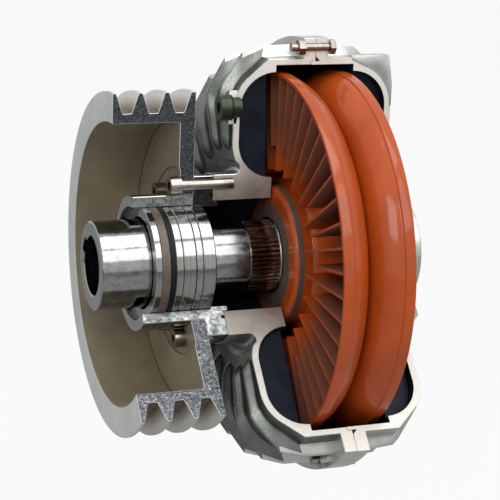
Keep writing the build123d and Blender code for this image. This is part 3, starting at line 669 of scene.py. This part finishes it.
def front_shell_profile():
    """Closed profile of the front casing without ribs."""
    points = [(FRONT_FACE, HUB_BORE), (SLEEVE_BACK, HUB_BORE), (SLEEVE_BACK, HUB_RADIUS)]
    points += HUB_FILLET
    points += arc(FRONT_FACE, OIL_LOW, SHELL, 206, 180)
    points += arc(FRONT_FACE, OIL_HIGH, SHELL, 180, 135)
    points += [(DRUM_FRONT, DRUM_RADIUS), (JOINT - FLANGE_HALF, DRUM_RADIUS)]
    points += [(JOINT - FLANGE_HALF, FLANGE_RADIUS), (JOINT, FLANGE_RADIUS), (JOINT, LIP_RADIUS)]
    points += [(JOINT - LIP_DEPTH, LIP_RADIUS), (JOINT - LIP_DEPTH, DRUM_BORE), (FRONT_FACE, DRUM_BORE)]
    points += arc(FRONT_FACE, OIL_HIGH, OIL_DEPTH, 90, 180)
    points += arc(FRONT_FACE, OIL_LOW, OIL_DEPTH, 180, 270)
    return eased(points, 0.5)


def rear_shell_profile():
    """Closed profile of the rear casing without ribs."""
    points = [(JOINT - LIP_DEPTH, DRUM_BORE), (JOINT - LIP_DEPTH, LIP_RADIUS)]
    points += [(JOINT + RING_SEAT, LIP_RADIUS), (JOINT, LIP_RADIUS + RING_SEAT), (JOINT, FLANGE_RADIUS)]
    points += [(JOINT + FLANGE_HALF, FLANGE_RADIUS), (JOINT + FLANGE_HALF, DRUM_RADIUS)]
    points += mirrored([(DRUM_FRONT, DRUM_RADIUS)])
    points += arc(REAR_FACE, OIL_HIGH, SHELL, 45, 0)
    points += [(REAR_SHELL, REAR_HUB_FOOT)] + REAR_HUB
    points += [(REAR_FACE + REAR_SEAT, STACK_RADIUS), (REAR_FACE + REAR_SEAT, REAR_BORE)]
    points += [(REAR_FACE, REAR_BORE)]
    points += arc(REAR_FACE, OIL_LOW, OIL_DEPTH, 270, 360)
    points += arc(REAR_FACE, OIL_HIGH, OIL_DEPTH, 0, 90)
    points += [(REAR_FACE, DRUM_BORE)]
    return eased(points, 0.5)


def plug_boss():
    """Round boss under the filler plug, sawn through by the display cut."""
    depth = FRONT_FACE - OIL_DEPTH - 2 - PLUG_SEAT
    bpy.ops.object.select_all(action="DESELECT")
    bpy.ops.mesh.primitive_cylinder_add(
        vertices=64,
        radius=PLUG_BOSS * MM,
        depth=depth * MM,
        location=((PLUG_SEAT + depth / 2) * MM, 0, PLUG_RADIUS * MM),
        rotation=(0, radians(90), 0),
    )
    made = bpy.context.object
    bpy.ops.object.transform_apply(location=True, rotation=True, scale=True)
    edit(made)
    bpy.ops.mesh.bisect(plane_co=(0, 0, 0), plane_no=(0, 1, 0), use_fill=True, clear_inner=True)
    bpy.ops.object.mode_set(mode="OBJECT")
    add_bevel(made, 0.6, 2)
    return made


def front_casing():
    """Front casing: turned shell, cast ribs, plug boss and the vanes of the oil space."""
    shell = lathe("front_casing_dressed", front_shell_profile(), CUT_START)
    add_bevel(shell, CUT_CHAMFER, 1, 60)
    foot = arc(FRONT_FACE, OIL_LOW, SHELL - SINK, 195, 180, 3)
    foot += arc(FRONT_FACE, OIL_HIGH, SHELL - SINK, 180, 135, 5)
    foot += [(DRUM_FRONT, DRUM_RADIUS - SINK), (139, DRUM_RADIUS - SINK)]
    foot += [(JOINT - FLANGE_HALF + SINK, DRUM_RADIUS - SINK)]
    crown = [(102.4, 76.5), (98.5, 80), (96.0, 85.5), (95.6, 90), (95.5, 105), (95.5, 119)]
    crown += [(97.5, 124.5), (102.5, 132), (107.5, 139.5), (112, 146.0)]
    crown += [(128, 151), (140, 151.3), (JOINT - FLANGE_HALF + SINK, 151.5)]
    pieces = [plug_boss()]
    pieces += round_the_axis(rib("front_rib", crown, foot), kept_angles(RIBS, 180 / RIBS))
    vane = plate("front_casing_vane", casing_vane_outline(), CASING_VANE)
    pieces += round_the_axis(vane, kept_angles(CASING_VANES, CASING_VANE_START))
    join(shell, pieces)

    def choose(x, radius, angle, normal):
        if is_cut_face(angle, normal):
            return SECTION
        if radius < HUB_BORE + 1:
            return NAVY
        if along_cut(radius, angle):
            return CASTING
        if in_oil_space(FRONT_FACE - x, radius):
            return NAVY
        # Painted shade: the shell's skin between the ribs takes the darker copy of the aluminium
        ribbed = HUB_RADIUS + 3 < radius < FLANGE_RADIUS - 2
        on_shell = off_slot(FRONT_FACE - x, radius) < SHELL + 0.8 or radius < DRUM_RADIUS + 0.3
        return SHADED_HOLLOW if ribbed and on_shell else CASTING

    finish_faces(shell, [CASTING, SECTION, NAVY, SHADED_HOLLOW], choose)
    smooth(shell)
    stands_for(shell, "front_casing", "output_rotor")


def rear_casing():
    """Rear casing: turned shell, corner ribs, boss and the vanes of the oil space."""
    shell = lathe("rear_casing_dressed", rear_shell_profile(), CUT_START)
    add_bevel(shell, CUT_CHAMFER, 1, 60)
    start = JOINT + FLANGE_HALF + 5.2
    foot = [(start, DRUM_RADIUS - SINK), (185, DRUM_RADIUS - SINK), (REAR_FACE + 5, DRUM_RADIUS - SINK)]
    foot += arc(REAR_FACE, OIL_HIGH, SHELL - SINK, 45, 15, 4)
    crown = [(start, 150.6), (185, 150.2), (197.5, 149.2), (202, 145.5), (207, 140)]
    crown += [(212, 134.5), (217, 129), (REAR_SHELL - 0.2, 124)]
    boss = [(REAR_FACE - 2, DRUM_RADIUS - 2), (REAR_FACE - 2, BOSS_RADIUS), (REAR_SHELL - 3.2, BOSS_RADIUS)]
    boss += [(REAR_SHELL, 124), (REAR_SHELL, OIL_HIGH)]
    boss += arc(REAR_FACE, OIL_HIGH, SHELL - SINK, 0, 70, 8)
    turn = degrees(asin(BOSS_WIDTH / 4 / BOSS_RADIUS))
    pieces = round_the_axis(plate("rear_boss", boss, BOSS_WIDTH / 2, 0.5), [turn])
    pieces += round_the_axis(rib("rear_rib", crown, foot), kept_angles(RIBS, 180 / RIBS))
    vane = plate("rear_casing_vane", mirrored(casing_vane_outline()), CASING_VANE)
    pieces += round_the_axis(vane, kept_angles(CASING_VANES, CASING_VANE_START))
    join(shell, pieces)

    def choose(x, radius, angle, normal):
        if is_cut_face(angle, normal):
            return SECTION
        if along_cut(radius, angle):
            return CASTING
        return NAVY if in_oil_space(x - REAR_FACE, radius) else CASTING

    finish_faces(shell, [CASTING, SECTION, NAVY], choose)
    smooth(shell)
    stands_for(shell, "rear_casing", "output_rotor")


def pulley():
    """Pulley with its three belt grooves, web and screw seat."""
    points = [(PULLEY_FRONT, RIM_BORE), (PULLEY_FRONT, PULLEY_RADIUS)]
    floor = PULLEY_RADIUS - GROOVE_DEPTH
    for groove in range(GROOVES):
        middle = PULLEY_FRONT + FIRST_GROOVE + GROOVE_PITCH * groove
        points += [(middle - GROOVE_MOUTH, PULLEY_RADIUS), (middle - GROOVE_FLOOR, floor)]
        points += [(middle + GROOVE_FLOOR, floor), (middle + GROOVE_MOUTH, PULLEY_RADIUS)]
    points += [(PULLEY_BACK, PULLEY_RADIUS), (PULLEY_BACK, SLEEVE_RADIUS), (WEB_FRONT + 1, SLEEVE_RADIUS)]
    points += [(WEB_FRONT + 1, SCREW_SEAT), (WEB_FRONT, SCREW_SEAT), (WEB_FRONT, RIM_BORE)]
    made = lathe("pulley_dressed", eased(points, 0.7), CUT_START)
    add_bevel(made, CUT_CHAMFER, 1, 60)

    def choose(x, radius, angle, normal):
        if is_cut_face(angle, normal):
            return IRON_SECTION
        if along_cut(radius, angle):
            return IRON
        # Dark lines in the web's corner and round the screw seat, in the groove iron's darkest brown
        if abs(x - WEB_FRONT) < 0.6 and min(abs(radius - RIM_BORE), abs(radius - SCREW_SEAT)) < 0.6:
            return IRON_GROOVE
        if radius > RIM_BORE + 1 and PULLEY_FRONT + 1 < x < PULLEY_BACK - 1:
            return IRON_GROOVE
        if radius < RIM_BORE + 0.5 and PULLEY_FRONT + 0.4 < x < WEB_FRONT + 2:
            return IRON_INSIDE
        return IRON

    finish_faces(made, [IRON, IRON_INSIDE, IRON_GROOVE, IRON_SECTION], choose)
    smooth(made)
    stands_for(made, "pulley", "output_rotor")


def bearing_sleeve():
    """Flanged sleeve round the seals and bearings."""
    points = [(SLEEVE_FRONT, STACK_RADIUS), (SLEEVE_FRONT, SLEEVE_RADIUS), (PULLEY_BACK, SLEEVE_RADIUS)]
    points += [(PULLEY_BACK, FLANGE_OUTER), (SLEEVE_BACK, FLANGE_OUTER), (SLEEVE_BACK, RING_GROOVE_OUTER)]
    points += [(SLEEVE_BACK - RING_GROOVE_DEPTH, RING_GROOVE_OUTER)]
    points += [(SLEEVE_BACK - RING_GROOVE_DEPTH, RING_GROOVE_INNER), (SLEEVE_BACK, RING_GROOVE_INNER)]
    points += [(SLEEVE_BACK, SPIGOT_RADIUS), (SPIGOT_END, SPIGOT_RADIUS), (SPIGOT_END, SLEEVE_BORE)]
    points += [(STACK_END, SLEEVE_BORE), (STACK_END, STACK_RADIUS)]
    made = lathe("bearing_sleeve_dressed", eased(points, 0.6), CUT_START)
    add_bevel(made, CUT_CHAMFER, 1, 60)
    # The cut faces part where the flange begins, so that the flange's upper cut face can take the painted
    # dark reflection
    edit(made)
    bpy.ops.mesh.bisect(plane_co=(PULLEY_BACK * MM, 0, 0), plane_no=(1, 0, 0))
    bpy.ops.object.mode_set(mode="OBJECT")

    def choose(x, radius, angle, normal):
        if not is_cut_face(angle, normal):
            return GROUND
        # Painted reflection: dark on the flange's upper cut, bright on the other cut faces
        return PAINTED_REFLECTION_SECTION if x > PULLEY_BACK and angle < 90 else SLEEVE_SECTION

    finish_faces(made, [GROUND, SLEEVE_SECTION, PAINTED_REFLECTION_SECTION], choose)
    smooth(made)
    stands_for(made, "bearing_sleeve", "output_rotor")


def wheel_profile():
    """Closed profile of the wheel's shell and hub."""
    nose = WHEEL_FRONT - NOSE
    half = [(nose, WHEEL_BORE), (nose, NOSE_PAINT), (nose, WHEEL_HUB - NOSE), (WHEEL_FRONT, WHEEL_HUB)]
    half += [(WHEEL_FRONT + BARE_BAND, WHEEL_HUB), (WHEEL_FRONT + 11.5, WHEEL_HUB)]
    half += [(WHEEL_FRONT + 14, WHEEL_HUB + 2.6), (JOINT - 4.4, 74), (JOINT - 2.6, 80)]
    half += arc(WHEEL_FRONT, BOWL_CENTRE, WHEEL_BOWL, 0, 90, 14)
    half += [(WHEEL_FRONT, WHEEL_RIM), (WHEEL_FRONT + 7.4, WHEEL_RIM)]
    half += arc(WHEEL_FRONT, BOWL_CENTRE, WHEEL_BOWL + BOWL_WALL, 73, 10, 12)
    valley = [(JOINT, BOWL_CENTRE + 3.6)]
    return eased(half + valley + mirrored(reversed(half)), 0.8)


def wheel():
    """Two-sided wheel: turned shell, long and short vanes by turns on each side."""
    shell = lathe("wheel_dressed", wheel_profile())
    pitch = 360 / WHEEL_VANES
    vanes = []
    for first, inner, floor_x in ((0, LONG_VANE_INNER, JOINT - 8), (1, SHORT_VANE_INNER, JOINT - 2)):
        vane = [(WHEEL_FRONT, inner), (floor_x, inner), (JOINT - 2, 80)]
        vane += arc(WHEEL_FRONT, BOWL_CENTRE, WHEEL_BOWL + 0.6, 0, 88, 9)
        angles = [WHEEL_VANE_START + place * pitch for place in range(first, WHEEL_VANES, 2)]
        for side in (vane, mirrored(vane)):
            vanes += round_the_axis(plate("wheel_vane", side, WHEEL_VANE, 0.3), angles)
    join(shell, vanes)

    def choose(x, radius, angle, normal):
        depth = abs(x - JOINT)
        if depth > WHEEL_HALF + 1.5 and radius < NOSE_PAINT:
            return PRIMER
        # Painted shade: the vane edges on the wheel's two faces take the darker enamel copy
        if depth > WHEEL_HALF - 0.6:
            return EDGE if WHEEL_HUB + 3 < radius < 129 else ENAMEL
        if radius < WHEEL_HUB + 0.3 and depth > WHEEL_HALF - BARE_BAND and abs(normal.x) < 0.5:
            return PRIMER
        # Painted shade: the pockets between the vanes take the enamel darkened towards the rim
        in_bowl = hypot(depth - WHEEL_HALF, max(0, radius - BOWL_CENTRE)) < WHEEL_BOWL + 0.4
        return SHADED_POCKET if LONG_VANE_INNER < radius < 129.6 and in_bowl else ENAMEL

    finish_faces(shell, [ENAMEL, SHADED_POCKET, EDGE, PRIMER], choose)
    smooth(shell)
    stands_for(shell, "wheel", "input_rotor")


def carried_over():
    """CAD nodes that keep their shape get their finish."""
    finishes = [
        (SHAFT, ["hollow_shaft", "inner_spacer", "outer_spacer", "rear_distance_ring"]),
        (GROUND, ["seal_cover", "seal_spacer"]),
        (GROUND, ["front_bearing_inner_ring", "middle_bearing_inner_ring", "rear_bearing_inner_ring"]),
        (GROUND, ["front_bearing_outer_ring", "middle_bearing_outer_ring", "rear_bearing_outer_ring"]),
        (GROUND, ["front_bearing_rollers", "middle_bearing_rollers", "rear_bearing_rollers"]),
        (FASTENER, ["front_bearing_cage", "middle_bearing_cage", "rear_bearing_cage"]),
        (FASTENER, ["casing_bolts", "casing_nuts", "pulley_screws"]),
        (FASTENER, ["wheel_retaining_ring", "shaft_circlip", "shaft_lock_nut"]),
        (RUBBER, ["casing_o_ring", "sleeve_o_ring", "plug_washer", "seal_rubber"]),
        (RESIN, ["seal_body"]),
        (OLIVE, ["filler_plug"]),
        (CASTING, ["rear_cap"]),
    ]
    for material, names in finishes:
        for name in names:
            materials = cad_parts[name].data.materials
            if not materials:
                materials.append(material)
            for slot in range(len(materials)):
                materials[slot] = material


def surroundings():
    """A white world that the camera and glossy metal see in full, and that lights the object less."""
    world = bpy.data.worlds.new("studio")
    bpy.context.scene.world = world
    world.use_nodes = True
    tree = world.node_tree
    light = tree.nodes["Background"]
    feed(tree, light, {"Color": (1, 1, 1, 1), "Strength": 0.6})
    white = node(tree, "Background", {"Color": (1, 1, 1, 1), "Strength": 1.0})
    ray = node(tree, "LightPath", {}).outputs
    seen = node(tree, "Math", {0: ray["Is Camera Ray"], 1: ray["Is Glossy Ray"]}, operation="MAXIMUM")
    shown = node(tree, "Math", {0: seen, 1: ray["Is Transmission Ray"]}, operation="MAXIMUM")
    mixed = node(tree, "MixShader", {0: shown, 1: light, 2: white})
    feed(tree, tree.nodes["World Output"], {"Surface": mixed})


def lamps():
    """Three soft square lamps, given as place, width in metres and power in watts."""
    softboxes = [
        ("key_softbox", (-0.6, -1.0, 0.7), 0.55, 5.0),
        ("top_softbox", (0.3, -0.3, 1.1), 0.6, 4.8),
        ("front_softbox", (0.46, -0.9, 0.75), 0.6, 3.4),
    ]
    aim = Vector((0.12, 0, 0))
    for name, place, size, power in softboxes:
        data = bpy.data.lights.new(name, "AREA")
        data.shape = "SQUARE"
        data.size = size
        data.energy = power
        lamp = bpy.data.objects.new(name, data)
        bpy.context.collection.objects.link(lamp)
        lamp.location = place
        lamp.rotation_euler = (aim - Vector(place)).to_track_quat("-Z", "Y").to_euler()


def paper_floor():
    """Pale paper floor under the coupling, nearly white to the camera and grey to everything else."""
    bpy.ops.object.select_all(action="DESELECT")
    bpy.ops.mesh.primitive_plane_add(size=12, location=(0, 0, -0.32))
    floor = bpy.context.object
    floor.name = "floor"
    material = bpy.data.materials.new("floor_paper")
    material.use_nodes = True
    tree = material.node_tree
    shader = tree.nodes["Principled BSDF"]
    feed(tree, shader, {"Base Color": (0.5, 0.5, 0.5, 1), "Roughness": 0.9})
    glow = node(tree, "Emission", {"Strength": 1.0})
    ray = node(tree, "LightPath", {}).outputs
    share = node(tree, "Math", {0: ray["Is Camera Ray"], 1: 0.92}, operation="MULTIPLY")
    mixed = node(tree, "MixShader", {0: share, 1: shader, 2: glow})
    feed(tree, tree.nodes["Material Output"], {"Surface": mixed})
    floor.data.materials.append(material)


def camera():
    """Camera at the photograph's viewing angle."""
    azimuth = radians(20.518)
    elevation = radians(15.858)
    roll = radians(2.345)
    distance = 1.19897
    target = Vector((0.11724, 0, 0.004487))
    film_width = 36
    picture_width = 500
    focal_pixels = 1659.09
    forward = Vector((sin(azimuth) * cos(elevation), cos(azimuth) * cos(elevation), -sin(elevation)))
    level = Vector((cos(azimuth), -sin(azimuth), 0))
    above = level.cross(forward)
    right = cos(roll) * level + sin(roll) * above
    upward = cos(roll) * above - sin(roll) * level
    data = bpy.data.cameras.new("camera")
    data.sensor_width = film_width
    data.lens = film_width * focal_pixels / picture_width
    made = bpy.data.objects.new("camera", data)
    bpy.context.collection.objects.link(made)
    turned = Matrix((right, upward, -forward)).transposed().to_4x4()
    made.matrix_world = Matrix.Translation(target - distance * forward) @ turned
    bpy.context.scene.camera = made


front_casing()
rear_casing()
pulley()
bearing_sleeve()
wheel()
carried_over()
surroundings()
lamps()
paper_floor()
camera()
bpy.context.scene.view_settings.view_transform = "Standard"
